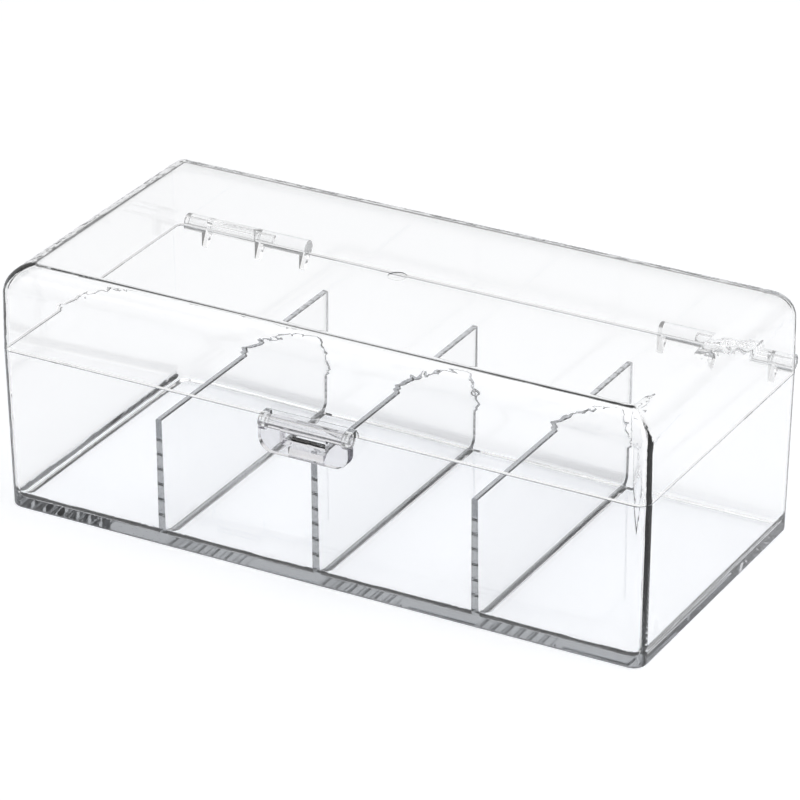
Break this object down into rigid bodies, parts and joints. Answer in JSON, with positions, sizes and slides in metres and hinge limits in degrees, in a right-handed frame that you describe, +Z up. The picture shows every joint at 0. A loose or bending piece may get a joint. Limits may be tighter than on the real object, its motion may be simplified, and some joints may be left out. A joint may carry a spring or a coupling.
{
  "type": "accessory box",
  "caption": "Clear box for small accessories: an open tray divided into compartments, a domed lid on rear hinges and a swinging front clasp.",
  "frame": {"origin": "centre of the flat underside of the tray", "axes": "+X along the length, to the right as seen from the front; +Y to the hinges at the back; +Z up"},
  "size_m": [0.22, 0.1162, 0.0817],
  "materials": {
    "tray_plastic": "clear, polished",
    "lid_plastic": "clear, polished",
    "clasp_plastic": "clear, polished",
    "pin_plastic": "clear, polished"
  },
  "bodies": {
    "tray": {"base_tray": "tray_plastic", "hinge_pin_left": "pin_plastic", "hinge_pin_right": "pin_plastic"},
    "lid": {"lid": "lid_plastic", "latch_pin": "pin_plastic"},
    "clasp": {"latch_clasp": "clasp_plastic"}
  },
  "joints": [
    {"name": "lid_hinge", "type": "hinge", "parent": "tray", "child": "lid", "pos_m": [0, 0.0556, 0.0541], "axis": [-1, 0, 0], "range_deg": [0, 180]},
    {"name": "clasp_hinge", "type": "hinge", "parent": "lid", "child": "clasp", "pos_m": [0, -0.05575, 0.0543], "axis": [-1, 0, 0], "range_deg": [0, 150]}
  ]
}
